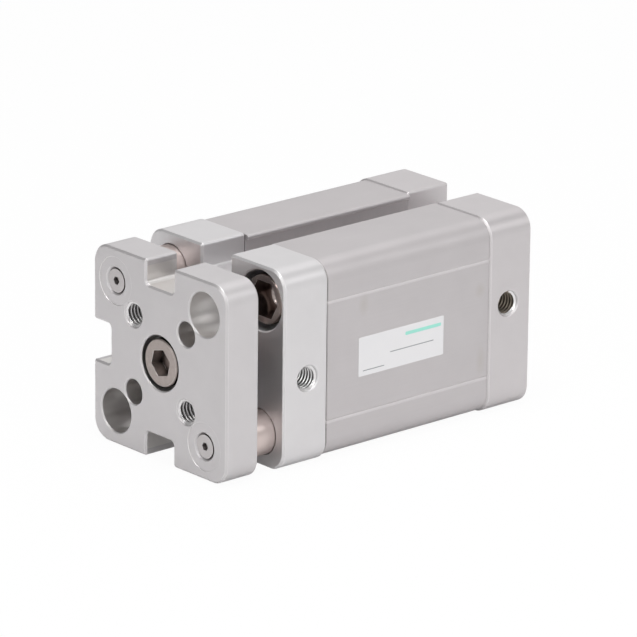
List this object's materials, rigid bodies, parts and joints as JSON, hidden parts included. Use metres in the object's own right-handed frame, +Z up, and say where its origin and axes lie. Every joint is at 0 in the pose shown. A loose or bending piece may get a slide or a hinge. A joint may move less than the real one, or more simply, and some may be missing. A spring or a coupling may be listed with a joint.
{
  "type": "compact pneumatic cylinder",
  "caption": "Guided compact air cylinder: square slotted barrel between two covers with air ports, and a notched end plate that slides out on a piston rod and guide rods.",
  "frame": {"origin": "centre of the rear mounting face, on the bore axis", "axes": "+X along the stroke towards the end plate, +Y out of the port side, +Z up"},
  "size_m": [0.078, 0.04, 0.04],
  "materials": {
    "extruded_aluminium": "extruded, matt anodised",
    "blasted_aluminium": "bead blasted, clear anodised",
    "turned_aluminium": "turned",
    "screw_steel": "turned, plain",
    "ground_steel": "centreless ground",
    "seal_rubber": "moulded nitrile",
    "bumper_rubber": "moulded polyurethane",
    "bush_bronze": "sintered bronze",
    "magnet_ferrite": "bonded ferrite",
    "wear_plastic": "moulded acetal",
    "label_film": "printed film, left plain"
  },
  "bodies": {
    "cylinder_body": {"barrel": "extruded_aluminium", "front_cover": "blasted_aluminium", "rear_cover": "blasted_aluminium", "front_collar_screws": "screw_steel", "rear_collar_screws": "screw_steel", "front_cover_ring": "seal_rubber", "rear_cover_ring": "seal_rubber", "front_bumper": "bumper_rubber", "rear_bumper": "bumper_rubber", "rod_bush": "bush_bronze", "rod_seal": "seal_rubber", "guide_bush_upper": "bush_bronze", "guide_bush_lower": "bush_bronze"},
    "rod_assembly": {"piston": "turned_aluminium", "piston_seal_rear": "seal_rubber", "piston_seal_front": "seal_rubber", "magnet_ring": "magnet_ferrite", "wear_ring": "wear_plastic", "rod_ring": "seal_rubber", "piston_screw": "screw_steel", "piston_rod": "ground_steel", "front_plate": "blasted_aluminium", "plate_screw": "screw_steel", "guide_rod_upper": "ground_steel", "guide_rod_lower": "ground_steel", "guide_rod_screws": "screw_steel"}
  },
  "joints": [
    {"name": "rod_slide", "type": "slide", "parent": "cylinder_body", "child": "rod_assembly", "axis": [1, 0, 0], "range_m": [0, 0.025]}
  ]
}
